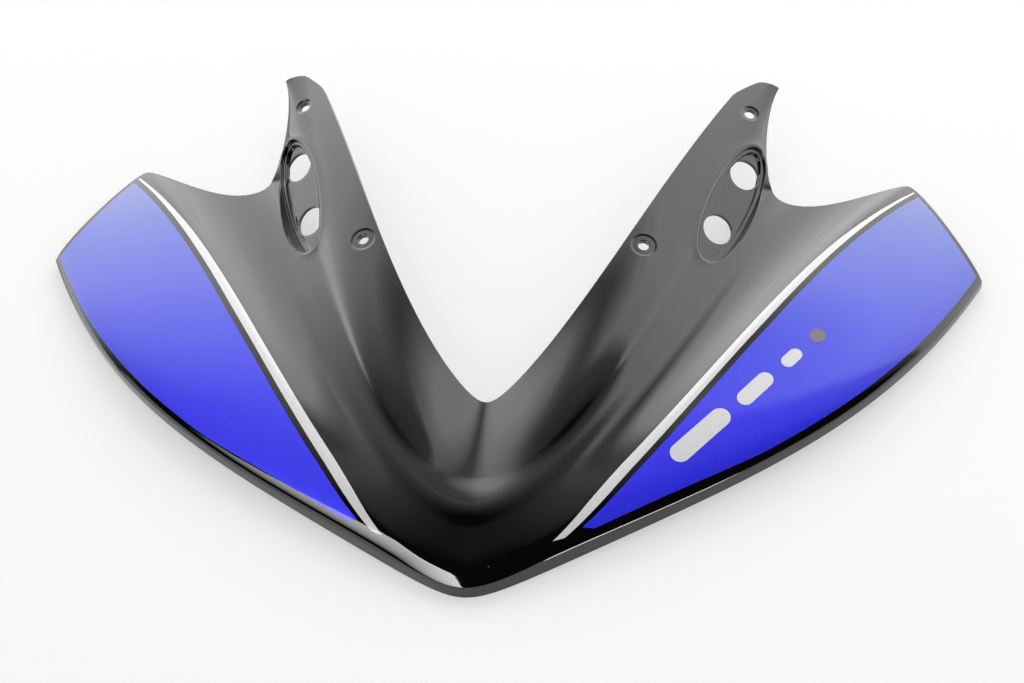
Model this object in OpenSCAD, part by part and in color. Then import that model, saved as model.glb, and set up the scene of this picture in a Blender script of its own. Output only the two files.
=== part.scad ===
// Front cowl of a sport motorcycle: one moulded shell with two wings and two windscreen arms,
// and the films stuck on its wings. It lies face up, on its nose and its two outer wing corners.
// X is across, Y runs back from the nose, Z is up. All sizes are in millimetres.

/* [Wings] */
// From the middle to a wing's outer corner
corner_out = 255; // [235:1:275]
// From the nose back to a wing's outer corner
corner_back = 213; // [195:1:230]
// How far a wing's top corner lies inboard of its outer corner
top_corner_in = 41; // [30:1:55]
// How far a wing's top corner lies behind its outer corner
top_corner_back = 62; // [50:1:72]
// Height of the skin at a wing's top corner
top_corner_rise = 10; // [6:1:14]
// How far the middle of a wing's lower edge is lifted off the ground
edge_arch = 7; // [4:1:10]
// Height of the crease that runs along a wing
crease_rise = 40; // [35:1:45]
// Height of the hollow between the crease and the arm
hollow_rise = 20; // [16:1:24]
// Height of the skirt under the nose and the wings
skirt_h = 7; // [5:0.5:10]

/* [Arms] */
// From the middle to the windscreen edge at an arm's tip
tip_out = 120; // [112:1:130]
// From the nose back to the windscreen edge at an arm's tip
tip_back = 330; // [315:1:345]
// Height of the skin at an arm's tip
tip_rise = 31; // [26:1:36]
// Width of an arm at its tip
tip_w = 20; // [16:1:24]
// From the middle to the notch between a wing and its arm
notch_out = 140; // [136:1:146]
// From the nose back to the notch
notch_back = 267; // [264:1:275]
// Height of the skin at the notch
notch_rise = 13; // [11:1:15]
// From the nose back to the bottom of the windscreen gap
apex_back = 112; // [102:1:122]
// Height of the skin at the bottom of the windscreen gap
apex_rise = 15; // [12:1:20]
// Height of the windscreen edge in its upper half
edge_rise = 46; // [42:1:50]

/* [Shell] */
// Thickness of the moulded skin
wall = 3; // [2:0.1:4]
// Thickness of the pocket's floor and walls
pocket_wall = 3; // [2:0.1:4]

/* [Mirror pockets] */
// From the notch in to a pocket's middle
pocket_in = 21.5; // [20:0.5:24]
// From the notch forward to a pocket's middle
pocket_ahead = 12.5; // [11:0.5:16]
// Height of a pocket floor's middle above the notch
pocket_rise = 4.8; // [4:0.2:5.6]
// Turn of a pocket away from straight back, seen from above, in degrees
pocket_turn = 17.5; // [15:0.5:20]
// Outward lean of a pocket's floor, in degrees
pocket_lean = 34; // [31:0.5:36]
// Climb of a pocket's floor towards the arm's tip, in degrees
pocket_climb = 3; // [1:0.5:5]
// Half width of a pocket's floor
pocket_half = 10.5; // [9.5:0.5:11]
// Length of a pocket's floor in front of its middle
pocket_front = 43; // [40:1:46]
// Width of the ledge round a pocket's floor
ledge_w = 2.5; // [2:0.5:3]
// Height of the ledge above a pocket's floor
ledge_h = 2; // [1.5:0.5:3]
// Diameter of a mirror stud hole
mirror_hole_d = 17; // [13:0.5:17]
// Distance between the two mirror stud holes of a pocket
mirror_pitch = 39.5; // [37:0.5:41]

/* [Screw holes] */
// Diameter of a windscreen screw hole
screw_hole_d = 6; // [4:0.5:7]
// Diameter of the shallow round seat for a screw's washer
screw_seat_d = 14; // [11:0.5:16]
// Diameter of the seat of the screw near an arm's tip
tip_seat_d = 10; // [8:0.5:11]
// Depth of the washer seat
screw_seat_depth = 0.8; // [0.4:0.1:1.2]

/* [Films] */
// Thickness of the stuck-on films
film_t = 0.3; // [0.2:0.05:0.6]
// Width of the light stripe on the crease
stripe_w = 6; // [4:0.5:8]
// Bare strip between the stripe and the coloured field
stripe_gap = 3.5; // [2:0.5:5]
// Bare strip between the coloured field and a wing's edges
field_inset = 5; // [4:0.5:8]

/* [Hidden] */
// The pockets sit by the notch, and their floors reach back beside the arms in proportion to them
pocket_out = notch_out - pocket_in;
pocket_back = notch_back - pocket_ahead;
pocket_rear = 0.55 * (tip_back - notch_back);
// Columns across one wing and along one arm
wing_cols = 27;
arm_cols = 14;
// Share of the ridge and of the windscreen edge that lies beside the wing
ridge_share = 0.8;
edge_share = 0.7;
// Rounding of the lines where the two halves meet
nose_soft = 0.05;
// Share of the stripe's length that tapers to its point
taper_share = 0.4;
// How far the inner corner of an arm's tip is rounded back, as a share of the arm
tip_round = 0.12;
// First columns that carry the stripe and the coloured field, next to the nose
stripe_first = 5;
field_first = 6;
// Towards the nose the field draws in from the lower edge, to end in a point
field_draw = 15;

// The lines that run from the middle out along the right half, each a cubic curve
skirt_line = [[0, 0, 0], [0.46 * corner_out, 0.325 * corner_back, edge_arch],
              [0.785 * corner_out, 0.455 * corner_back, 1.4 * edge_arch], [corner_out, corner_back, 0]];
rim_line = [for (k = [0:3]) skirt_line[k] + [0, k == 3 ? 0 : 1, k == 3 ? 0.8 * skirt_h : skirt_h]];
top_corner = [corner_out - top_corner_in, corner_back + top_corner_back, top_corner_rise];
crease_line = [[0, 7, skirt_h + 3], [0.3 * corner_out, 0.18 * corner_back, crease_rise / 2],
               [0.56 * corner_out, 0.9 * corner_back, crease_rise], top_corner];
notch = [notch_out, notch_back, notch_rise];
hollow_end = [13, -9, -1];
arm_crown = 10;
hollow_line = [[0, 0.15 * corner_back, skirt_h + 9], [0.22 * corner_out, 0.24 * corner_back, hollow_rise + 2],
               [0.43 * corner_out, 0.78 * corner_back, hollow_rise], notch + hollow_end];
root_line = [[0, 0.21 * corner_back, skirt_h + 12], [0.2 * corner_out, 0.27 * corner_back, 24],
             [0.39 * corner_out, 0.87 * corner_back, 30], notch];
tip_mid = [tip_out + 0.45 * tip_w, tip_back + 5, tip_rise - 3];
ridge_line = [[0, 0.56 * apex_back, apex_rise + 5], [0.38 * tip_out, 0.19 * tip_back, 0.55 * edge_rise],
              [0.67 * tip_out, 0.53 * tip_back, 0.9 * edge_rise], tip_mid];
edge_line = [[0, apex_back, apex_rise], [0.38 * tip_out, 0.45 * tip_back, 0.9 * edge_rise],
             [0.66 * tip_out, 0.75 * tip_back, edge_rise], [tip_out, tip_back, tip_rise]];
tip_corner = [tip_out + tip_w, tip_back + 2, tip_rise - 5];
flank_line = [notch, notch + [-6, 13, 6], tip_corner - [7, 16, 2], tip_corner];

function cubic(p, u) = pow(1 - u, 3) * p[0] + 3 * u * pow(1 - u, 2) * p[1]
    + 3 * u * u * (1 - u) * p[2] + pow(u, 3) * p[3];
function softened(u) = (sqrt(u * u + nose_soft * nose_soft) - nose_soft)
    / (sqrt(1 + nose_soft * nose_soft) - nose_soft);
function along(p, u) = let (a = cubic(p, u), b = cubic(p, softened(u))) [a.x, b.y, b.z];
function unit(v) = v / max(norm(v), 0.0001);

// The points of one cross section, from the skirt to the windscreen edge
function wing_section(u) = [along(skirt_line, u), along(rim_line, u), along(crease_line, u),
    along(hollow_line, u), along(root_line, u), along(ridge_line, ridge_share * u),
    along(edge_line, edge_share * u)];
function arm_section(u) = let (r = cubic(flank_line, u), w = pow(sin(90 * min(1, u / 0.4)), 2),
    ridge = along(ridge_line, ridge_share + (1 - ridge_share) * u),
    edge = along(edge_line, edge_share + (1 - edge_share) * u),
    fall = (1 - w) * hollow_end + w * (0.3 * (r - ridge) - [0, 0, arm_crown]))
    [r, r, r, r + fall, r, ridge, edge];

// How rounded the surface is as it crosses each line: small is a tight bend
bend = [1, 0.5, 0.35, 1, 1, 0.7, 1];
function tangent(s, k) = k == 0 ? unit(s[1] - s[0]) : k == 6 ? unit(s[6] - s[5])
    : unit(unit(s[k] - s[k - 1]) + unit(s[k + 1] - s[k]));
// The skin's edge turns into the arm's edge at the notch
function arrival(s, k, u) = k != 4 ? tangent(s, k)
    : unit((1 - pow(u, 6)) * tangent(s, k) + pow(u, 6) * unit(flank_line[1] - notch));
function across(s, c, u) = let (k = min(floor(c), 5), t = c - k, a = s[k], b = s[k + 1], d = norm(b - a))
    (1 + 2 * t) * pow(1 - t, 2) * a + t * pow(1 - t, 2) * d * bend[k] * tangent(s, k)
    + t * t * (3 - 2 * t) * b + t * t * (t - 1) * d * bend[k + 1] * arrival(s, k + 1, u);

// Rows across a section: 0 skirt, 1 rim, 2 crease, 3 hollow, 4 arm root, 5 ridge, 6 windscreen edge
// The share of a stretch between two lines that lies within a given share of its length, from its start
function reach(x, b0, b1) = let (k = 3 - 2 * b0 - b1) (sqrt(b0 * b0 + 4 * k * max(x, 0)) - b0) / (2 * k);
function from_rim(d, s) = 1 + reach(d / max(norm(s[2] - s[1]), 1), bend[1], bend[2]);
function from_crease(d, s) = d > 0 ? 2 - reach(d / max(norm(s[2] - s[1]), 1), bend[2], bend[1])
    : 2 + reach(-d / max(norm(s[3] - s[2]), 1), bend[2], bend[3]);
// The stripe wanders: outside the crease at both ends, inside it halfway
function stripe_middle(u) = 35 * pow(u - 0.52, 2) + 60 * pow(max(0, 0.36 - u), 1.5) - 1.8;
function stripe_half(u) = stripe_w / 2 * min(1, (1 - u) / taper_share + 0.15) * (0.6 + 0.4 * min(1, 2 * u));
function rows(u, s) = let (middle = stripe_middle(u), half = stripe_half(u),
    high = max(from_crease(middle + half + stripe_gap, s), 1.3),
    low = min(from_rim(field_inset + field_draw * pow(max(0, 1 - 2 * u), 1.2), s), high - 0.02),
    out = max(from_crease(middle + half, s), high + 0.02), in = max(from_crease(middle - half, s), out + 0.02))
    [0, 0.5, 1, (1 + low) / 2, low, (2 * low + high) / 3, (low + 2 * high) / 3, high,
     out, out < 2 && in > 2 ? 2 : (out + in) / 2, in, max(2, in + 0.05), 2.35, 2.6, 2.8, 3, 3.33, 3.67,
     4, 4.2, 4.4, 4.6, 4.8, 5, 5.2, 5.4, 5.6, 5.8, 6];
root_row = 18;
last_row = 28;
field_rows = [4, 7];
stripe_rows = [8, 10];

last_gap = field_inset / norm(top_corner);
function wing_u(i) = i == wing_cols ? 1 : i / (wing_cols - 1) * (1 - last_gap);
function mirrored(p) = [-p.x, p.y, p.z];
cols = wing_cols + arm_cols;
function rounded(u, c) = u - tip_round * pow(max(0, (c - 4.8) / 1.2), 2.2) * pow(max(0, (u - 0.5) / 0.5), 1.5);
function arm_point(u, c) = let (v = rounded(u, c)) across(arm_section(v), c, v);
half_grid = [for (i = [0:cols]) let (u = i > wing_cols ? (i - wing_cols) / arm_cols : wing_u(i),
    s = i > wing_cols ? arm_section(u) : wing_section(u), r = rows(u, s))
    [for (j = [0:last_row]) i > wing_cols && r[j] > 4.8 ? arm_point(u, r[j]) : across(s, r[j], u)]];
function skin(i, j) = i < 0 ? mirrored(half_grid[-i][j]) : half_grid[i][j];
function first_row(i) = abs(i) > wing_cols ? root_row : 0;
function normal(i, j) = let (
    lo = (j < root_row ? -wing_cols : -cols), hi = -lo,
    di = skin(min(i + 1, hi), j) - skin(max(i - 1, lo), j),
    dj = skin(i, min(j + 1, last_row)) - skin(i, max(j - 1, first_row(i)))) unit(cross(di, dj));
function lifted(i, j, h) = skin(i, j) + h * normal(i, j);

// A point's place in the list: the wings' columns first, then the right arm's, then the left arm's
arm_rows = last_row - root_row + 1;
function place(i, j) = abs(i) <= wing_cols ? (i + wing_cols) * (last_row + 1) + j
    : (2 * wing_cols + 1) * (last_row + 1)
      + ((i > 0 ? i - wing_cols - 1 : arm_cols - i - wing_cols - 1)) * arm_rows + j - root_row;
function layer(h) = concat(
    [for (i = [-wing_cols:wing_cols]) for (j = [0:last_row]) lifted(i, j, h)],
    [for (i = [wing_cols + 1:cols]) for (j = [root_row:last_row]) lifted(i, j, h)],
    [for (i = [wing_cols + 1:cols]) for (j = [root_row:last_row]) lifted(-i, j, h)]);
outer = layer(0);
inner = layer(-wall);
count = len(outer);
cells = concat([for (i = [-wing_cols:wing_cols - 1]) for (j = [0:last_row - 1]) [i, j]],
    [for (i = [wing_cols:cols - 1]) for (j = [root_row:last_row - 1]) [i, j]],
    [for (i = [-cols:-wing_cols - 1]) for (j = [root_row:last_row - 1]) [i, j]]);
// The way round the edge of the shell
edge_loop = concat([for (i = [-wing_cols:wing_cols - 1]) [i, 0]],
    [for (j = [0:root_row - 1]) [wing_cols, j]],
    [for (i = [wing_cols:cols - 1]) [i, root_row]],
    [for (j = [root_row:last_row - 1]) [cols, j]],
    [for (i = [cols:-1:-cols + 1]) [i, last_row]],
    [for (j = [last_row:-1:root_row + 1]) [-cols, j]],
    [for (i = [-cols:-wing_cols - 1]) [i, root_row]],
    [for (j = [root_row:-1:1]) [-wing_cols, j]]);
// Two triangles for one cell, split the other way on the left half so that the halves match
function quad(a, b, c, d, left = false) = left ? [[b, c, d], [b, d, a]] : [[a, b, c], [a, c, d]];

// The right arm's stretch of skin that carries a pocket, as columns and rows
patch_from = 15;
patch_to = 38;
patch_low = 14;
patch_high = 25;
patch_rows = patch_high - patch_low + 1;
patch_arm_rows = patch_high - root_row + 1;
function patch_place(i, j) = i <= wing_cols ? (i - patch_from) * patch_rows + j - patch_low
    : (wing_cols - patch_from + 1) * patch_rows + (i - wing_cols - 1) * patch_arm_rows + j - root_row;
patch_points = [for (i = [patch_from:patch_to]) for (j = [max(patch_low, first_row(i)):patch_high]) [i, j]];
patch_cells = concat([for (i = [patch_from:wing_cols - 1]) for (j = [patch_low:patch_high - 1]) [i, j]],
    [for (i = [wing_cols:patch_to - 1]) for (j = [root_row:patch_high - 1]) [i, j]]);
patch_loop = concat([for (i = [patch_from:wing_cols - 1]) [i, patch_low]],
    [for (j = [patch_low:root_row - 1]) [wing_cols, j]],
    [for (i = [wing_cols:patch_to - 1]) [i, root_row]],
    [for (j = [root_row:patch_high - 1]) [patch_to, j]],
    [for (i = [patch_to:-1:patch_from + 1]) [i, patch_high]],
    [for (j = [patch_high:-1:patch_low + 1]) [patch_from, j]]);

// Places on the right half where a screw goes through: along the wing or, past 1, the arm, and across it
tip_screw = [1.735, 4.7];
middle_screw = [0.842, 5.61];
function half_skin(u, c) = u > 1 ? across(arm_section(u - 1), c, u) : across(wing_section(u), c, u);
function half_normal(u, c) = unit(cross(half_skin(u + 0.01, c) - half_skin(u - 0.01, c),
    half_skin(u, c + 0.01) - half_skin(u, c - 0.01)));

all_z = [for (p = concat(outer, inner)) p.z];
all_y = [for (p = concat(outer, inner)) p.y];
base = [0, -(min(all_y) + max(all_y)) / 2, -min(all_z)];

module skin_solid() {
    top = [for (c = cells) for (t = quad(place(c[0], c[1]), place(c[0], c[1] + 1),
        place(c[0] + 1, c[1] + 1), place(c[0] + 1, c[1]), c[0] < 0)) t];
    bottom = [for (t = top) [t[2] + count, t[1] + count, t[0] + count]];
    ring = [for (p = edge_loop) place(p[0], p[1])];
    wall_faces = [for (k = [0:len(ring) - 1]) let (a = ring[k], b = ring[(k + 1) % len(ring)])
        for (t = quad(a, b, b + count, a + count)) t];
    polyhedron(concat(outer, inner), concat(top, bottom, wall_faces));
}

// Everything under the middle of the skin, to well below the pocket
module under_skin() {
    n = len(patch_points);
    drop = 18 * [sin(pocket_lean) * cos(pocket_turn), -sin(pocket_lean) * sin(pocket_turn), cos(pocket_lean)];
    high = [for (p = patch_points) lifted(p[0], p[1], -wall / 2)];
    low = [for (p = high) p - drop];
    top = [for (c = patch_cells) for (t = quad(patch_place(c[0], c[1]), patch_place(c[0], c[1] + 1),
        patch_place(c[0] + 1, c[1] + 1), patch_place(c[0] + 1, c[1]))) t];
    bottom = [for (t = top) [t[2] + n, t[1] + n, t[0] + n]];
    ring = [for (p = patch_loop) patch_place(p[0], p[1])];
    sides = [for (k = [0:len(ring) - 1]) let (a = ring[k], b = ring[(k + 1) % len(ring)])
        for (t = quad(a, b, b + n, a + n)) t];
    polyhedron(concat(high, low), concat(top, bottom, sides));
}

// Moves to the frame of the right pocket: X across it, Y along it, Z out of its floor
module at_pocket() {
    translate([pocket_out, pocket_back, notch_rise + pocket_rise]) rotate([0, 0, -pocket_turn])
        rotate([pocket_climb, 0, 0]) rotate([0, pocket_lean, 0]) children();
}

// Outline of a pocket: two arcs that meet in a point in front, or in a round nose, and half an ellipse behind
function leaf_share(t, nose) = nose ? sqrt(1 - pow(1 - t, 2.6)) : 1 - pow(1 - t, 3);
module leaf(front, rear, half, nose = false) {
    side = [for (t = [0:0.125:0.875]) [half * leaf_share(t, nose), front * (t - 1)]];
    back = [for (a = [0:12:180]) [half * cos(a), rear * sin(a)]];
    polygon(concat(side, back, [for (k = [len(side) - 1:-1:1]) [-side[k].x, side[k].y]]));
}

module pocket_cup() {
    grow = ledge_w + pocket_wall;
    intersection() {
        under_skin();
        at_pocket() translate([0, 0, -pocket_wall]) linear_extrude(40)
            leaf(pocket_front + 1.2 * grow, pocket_rear + grow, pocket_half + grow, nose = true);
    }
}

module pocket_space() {
    at_pocket() {
        translate([0, 0, ledge_h]) linear_extrude(30)
            leaf(pocket_front + 1.2 * ledge_w, pocket_rear + ledge_w, pocket_half + ledge_w, nose = true);
        linear_extrude(ledge_h + 1) leaf(pocket_front, pocket_rear, pocket_half);
        for (y = [-mirror_pitch / 2, mirror_pitch / 2])
            translate([0, y, -15]) cylinder(h = 20, d = mirror_hole_d, $fn = 48);
    }
}

// Moves to a place on the right half's skin, with Z out of the skin
module at_skin(place) {
    n = half_normal(place[0], place[1]);
    translate(half_skin(place[0], place[1])) rotate([0, acos(n.z), atan2(n.y, n.x)]) children();
}

module screw_space(place, seat_d) {
    at_skin(place) {
        translate([0, 0, -10]) cylinder(h = 20, d = screw_hole_d, $fn = 32);
        translate([0, 0, -screw_seat_depth]) cylinder(h = 10, d = seat_d, $fn = 48);
    }
}

module both_sides() {
    children();
    mirror([1, 0, 0]) children();
}

// A film over the cells between two rows, from one column to another on one side
module film(side, rows_from, rows_to, from, to) {
    w = rows_to - rows_from + 1;
    n = to - from + 1;
    low = [for (i = [from:to]) for (j = [rows_from:rows_to]) lifted(side * i, j, 0.02)];
    high = [for (i = [from:to]) for (j = [rows_from:rows_to]) lifted(side * i, j, 0.02 + film_t)];
    function id(i, j) = i * w + j;
    top = [for (i = [0:n - 2]) for (j = [0:w - 2]) for (t = quad(id(i, j), id(i, j + 1),
        id(i + 1, j + 1), id(i + 1, j))) t];
    bottom = [for (t = top) [t[2] + n * w, t[1] + n * w, t[0] + n * w]];
    ring = concat([for (i = [0:n - 2]) id(i, 0)], [for (j = [0:w - 2]) id(n - 1, j)],
        [for (i = [n - 1:-1:1]) id(i, w - 1)], [for (j = [w - 1:-1:1]) id(0, j)]);
    sides = [for (k = [0:len(ring) - 1]) let (a = ring[k], b = ring[(k + 1) % len(ring)])
        for (t = quad(a, b, b + n * w, a + n * w)) t];
    faces = concat(top, bottom, sides);
    polyhedron(concat(high, low), side > 0 ? faces : [for (t = faces) [t[2], t[1], t[0]]]);
}

module cowl_shell() {
    color([0.06, 0.06, 0.07]) translate(base) difference() {
        union() {
            skin_solid();
            both_sides() pocket_cup();
        }
        both_sides() pocket_space();
        both_sides() screw_space(tip_screw, tip_seat_d);
        both_sides() screw_space(middle_screw, screw_seat_d);
    }
}

module side_film(side) {
    color([0.12, 0.1, 0.85]) translate(base)
        film(side, field_rows[0], field_rows[1], field_first, wing_cols - 1);
}

module stripe_film(side) {
    color([0.9, 0.9, 0.9]) translate(base)
        film(side, stripe_rows[0], stripe_rows[1], stripe_first, wing_cols - 1);
}

cowl_shell();
side_film(-1);  // side_film_left
side_film(1);  // side_film_right
stripe_film(-1);  // stripe_film_left
stripe_film(1);  // stripe_film_right
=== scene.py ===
import math

import bpy
import bmesh
import numpy as np
from mathutils import Euler, Matrix


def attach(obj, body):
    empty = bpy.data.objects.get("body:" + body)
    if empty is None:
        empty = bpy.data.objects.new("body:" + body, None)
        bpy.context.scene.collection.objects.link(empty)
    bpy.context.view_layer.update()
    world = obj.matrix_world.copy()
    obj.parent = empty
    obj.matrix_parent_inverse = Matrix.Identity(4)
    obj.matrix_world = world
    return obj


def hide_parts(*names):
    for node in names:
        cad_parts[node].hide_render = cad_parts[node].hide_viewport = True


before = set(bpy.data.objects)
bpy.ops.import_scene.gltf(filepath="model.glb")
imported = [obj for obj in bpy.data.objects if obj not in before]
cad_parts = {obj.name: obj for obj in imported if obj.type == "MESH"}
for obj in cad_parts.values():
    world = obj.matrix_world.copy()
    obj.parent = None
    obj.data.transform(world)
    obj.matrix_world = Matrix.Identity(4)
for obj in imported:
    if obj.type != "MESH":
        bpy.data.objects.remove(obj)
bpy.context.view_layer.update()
print("stage: frame loaded")

# Sizes in millimetres, measured from the nose as in the part's source
shell = {
    # a wing's lower and upper outer corner, the rise of its lines, and the skirt under its rim
    "cornerOut": 255, "cornerBack": 213, "topCornerIn": 41, "topCornerBack": 62, "topCornerRise": 10,
    "edgeArch": 7, "creaseRise": 40, "hollowRise": 22.5, "skirt": 7,
    # an arm's tip, the notch between wing and arm, and the windscreen gap's apex and edge
    "tipOut": 120, "tipBack": 330, "tipRise": 31, "tipWidth": 20,
    "notch": (140, 267, 13), "apexBack": 112, "apexRise": 18, "edgeRise": 46,
    "wall": 3.0, "armCrown": 10, "hollowEnd": (13, -9, -1),
    # the shares of ridge and edge that belong to the wing, and how far the skin bends at each line
    "ridgeShare": 0.8, "edgeShare": 0.7, "noseSoft": 0.05,
    "bend": (1, 0.5, 0.35, 1, 1, 0.7, 1),
    "shift": (0, -167.439, 0.273),      # from the nose to the model's own origin
    "tipRound": 0.14,                   # how far the arm tips' inner corners are rounded back
    "bevel": 0.5, "bevelAngle": 50, "sharpAngle": 42,
}


def cubic(p, u):
    # the place at u on a curve with four control points
    p = np.asarray(p, float)
    u = np.asarray(u, float)[..., None]
    return (1 - u) ** 3 * p[0] + 3 * u * (1 - u) ** 2 * p[1] + 3 * u * u * (1 - u) * p[2] + u ** 3 * p[3]


def along(p, u):
    # the same curve, but level where it crosses the middle plane
    u = np.asarray(u, float)
    e = shell["noseSoft"]
    soft = (np.sqrt(u * u + e * e) - e) / (math.sqrt(1 + e * e) - e)
    a, b = cubic(p, u), cubic(p, soft)
    return np.stack([a[..., 0], b[..., 1], b[..., 2]], -1)


def unit(v):
    v = np.asarray(v, float)
    return v / np.maximum(np.linalg.norm(v, axis=-1, keepdims=True), 1e-6)


# The lines that run from the middle out along the right half
s = shell
co, cb, sk = s["cornerOut"], s["cornerBack"], s["skirt"]
skirtLine = np.array([
    (0, 0, 0), (0.46 * co, 0.325 * cb, s["edgeArch"]),
    (0.785 * co, 0.455 * cb, 1.4 * s["edgeArch"]), (co, cb, 0)])
rimLine = skirtLine + np.array([(0, 1, sk), (0, 1, sk), (0, 1, sk), (0, 0, 0.8 * sk)])
topCorner = np.array((co - s["topCornerIn"], cb + s["topCornerBack"], s["topCornerRise"]))
notch = np.array(s["notch"], float)
hollowEnd = np.array(s["hollowEnd"], float)
creaseLine = np.array([
    (0, 7, sk + 3), (0.3 * co, 0.18 * cb, s["creaseRise"] / 2),
    (0.56 * co, 0.9 * cb, s["creaseRise"]), topCorner])
hollowLine = np.array([
    (0, 0.15 * cb, sk + 9), (0.22 * co, 0.24 * cb, s["hollowRise"] + 2),
    (0.43 * co, 0.78 * cb, s["hollowRise"]), notch + hollowEnd])
rootLine = np.array([(0, 0.21 * cb, sk + 12), (0.2 * co, 0.27 * cb, 24), (0.39 * co, 0.87 * cb, 30), notch])
to, tb, tr, tw = s["tipOut"], s["tipBack"], s["tipRise"], s["tipWidth"]
tipMid = np.array((to + 0.45 * tw, tb + 5, tr - 3))
ridgeLine = np.array([
    (0, 0.56 * s["apexBack"], s["apexRise"] + 0.5), (0.38 * to, 0.19 * tb, 0.55 * s["edgeRise"]),
    (0.67 * to, 0.53 * tb, 0.9 * s["edgeRise"]), tipMid])
edgeLine = np.array([
    (0, s["apexBack"], s["apexRise"]), (0.38 * to, 0.45 * tb, 0.9 * s["edgeRise"]),
    (0.66 * to, 0.75 * tb, s["edgeRise"]), (to, tb, tr)])
tipCorner = np.array((to + tw, tb + 2, tr - 5))
flankLine = np.array([notch, notch + (-6, 13, 6), tipCorner - (7, 16, 2), tipCorner])


def section(u):
    # the seven points of one cross section; u runs to 1 along the wing and to 2 along the arm
    w = np.clip(u, 0, 1)
    wing = np.stack([
        along(skirtLine, w), along(rimLine, w), along(creaseLine, w), along(hollowLine, w),
        along(rootLine, w), along(ridgeLine, s["ridgeShare"] * w), along(edgeLine, s["edgeShare"] * w)], -2)
    a = np.clip(np.asarray(u, float) - 1, 0, 1)
    r = cubic(flankLine, a)
    k = (np.sin(np.pi / 2 * np.minimum(1, a / 0.4)) ** 2)[..., None]
    ridge = along(ridgeLine, s["ridgeShare"] + (1 - s["ridgeShare"]) * a)
    edge = along(edgeLine, s["edgeShare"] + (1 - s["edgeShare"]) * a)
    fall = (1 - k) * hollowEnd + k * (0.3 * (r - ridge) - np.array((0, 0, s["armCrown"])))
    arm = np.stack([r, r, r, r + fall, r, ridge, edge], -2)
    return np.where((np.asarray(u) > 1)[..., None, None], arm, wing)


def skinPoint(u, c):
    # c runs across the skin: 0 skirt, 1 rim, 2 crease, 3 hollow, 4 arm's root, 5 ridge, 6 edge of the gap
    u, c = np.broadcast_arrays(np.asarray(u, float), np.asarray(c, float))
    sec = section(u)
    step = np.diff(sec, axis=-2)
    way = unit(step)
    tangent = np.empty_like(sec)
    tangent[..., 0, :] = way[..., 0, :]
    tangent[..., 6, :] = way[..., 5, :]
    tangent[..., 1:6, :] = unit(way[..., :-1, :] + way[..., 1:, :])
    k = np.clip(np.floor(c).astype(int), 0, 5)
    t = (c - k)[..., None]
    pick = lambda arr, i: np.take_along_axis(arr, i[..., None, None], axis=-2)[..., 0, :]
    a, b = pick(sec, k), pick(sec, k + 1)
    d = np.linalg.norm(b - a, axis=-1, keepdims=True)
    bend = np.array(s["bend"], float)
    # the wing's rear edge turns into the arm's edge at the notch
    p6 = (u ** 6)[..., None]
    turned = unit((1 - p6) * tangent[..., 4, :] + p6 * unit(flankLine[1] - notch))
    arrive = np.where((k == 3)[..., None] & (u <= 1)[..., None], turned, pick(tangent, k + 1))
    leave = pick(tangent, k)
    return ((1 + 2 * t) * (1 - t) ** 2 * a + t * (1 - t) ** 2 * d * bend[k][..., None] * leave
            + t * t * (3 - 2 * t) * b + t * t * (t - 1) * d * bend[k + 1][..., None] * arrive)


def skinNormal(u, c):
    # the wing ends at u = 1, where the arm's own skin begins
    e = 0.01
    u = np.asarray(u, float)
    high, low = np.where(u > 1, 2, 1), np.where(u > 1, 1.0001, 0)
    du = skinPoint(np.minimum(u + e, high), c) - skinPoint(np.maximum(u - e, low), c)
    dc = skinPoint(u, np.minimum(c + e, 6)) - skinPoint(u, np.maximum(c - e, 0))
    return unit(np.cross(du, dc))


def turnAbout(axis, degrees):
    return np.array(Matrix.Rotation(math.radians(degrees), 3, axis))


def findOnSkin(xy, origin, axes, uRange, cRange):
    # the places on the skin that lie over the points xy of a flat frame, first roughly and then by steps
    gu, gc = np.meshgrid(np.linspace(*uRange, 160), np.linspace(*cRange, 160), indexing="ij")
    grid = (skinPoint(gu, gc) - origin) @ axes
    low, high = np.transpose([uRange, cRange])
    found = []
    for x, y in xy:
        i = np.argmin((grid[..., 0] - x) ** 2 + (grid[..., 1] - y) ** 2)
        place = np.array([gu.flat[i], gc.flat[i]])
        for _ in range(4):
            e = 1e-3
            here = ((skinPoint(place[0], place[1]) - origin) @ axes)[:2]
            ju = (((skinPoint(place[0] + e, place[1]) - origin) @ axes)[:2] - here) / e
            jc = (((skinPoint(place[0], place[1] + e) - origin) @ axes)[:2] - here) / e
            step = np.linalg.lstsq(np.stack([ju, jc], 1), np.array([x, y]) - here, rcond=None)[0]
            place = np.clip(place + np.clip(step, -0.05, 0.05), low, high)
        found.append(place)
    return np.array(found)


# The films: a blue field on each wing and a pale stripe along its crease
films = {
    "thick": 0.28, "lift": 0.02, "stripe": 6.8, "gap": 3.5, "inset": 4, "endInset": 2.4, "draw": 15,
    "taper": 0.4, "stripeFrom": 0.19, "stripeSlant": -0.012, "fieldFrom": 0.222,
    "columns": 110, "stripeRows": 9, "fieldRows": 34,
}


# their outlines are distances over the skin, turned into places across it
def reach(x, b0, b1):
    # where a share x of a span's length is reached, from the bends at its two ends
    k = 3 - 2 * b0 - b1
    return (np.sqrt(b0 * b0 + 4 * k * np.maximum(x, 0)) - b0) / (2 * k)


def lineGaps(u):
    # the widths from rim to crease and from crease to hollow
    sec = section(u)
    return (np.maximum(np.linalg.norm(sec[..., 2, :] - sec[..., 1, :], axis=-1), 1),
            np.maximum(np.linalg.norm(sec[..., 3, :] - sec[..., 2, :], axis=-1), 1))


def fromRim(d, u):
    b = s["bend"]
    return 1 + reach(d / lineGaps(u)[0], b[1], b[2])


def fromCrease(d, u):
    b = s["bend"]
    panel, inner = lineGaps(u)
    return np.where(d > 0, 2 - reach(d / panel, b[2], b[1]), 2 + reach(-d / inner, b[2], b[3]))


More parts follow.
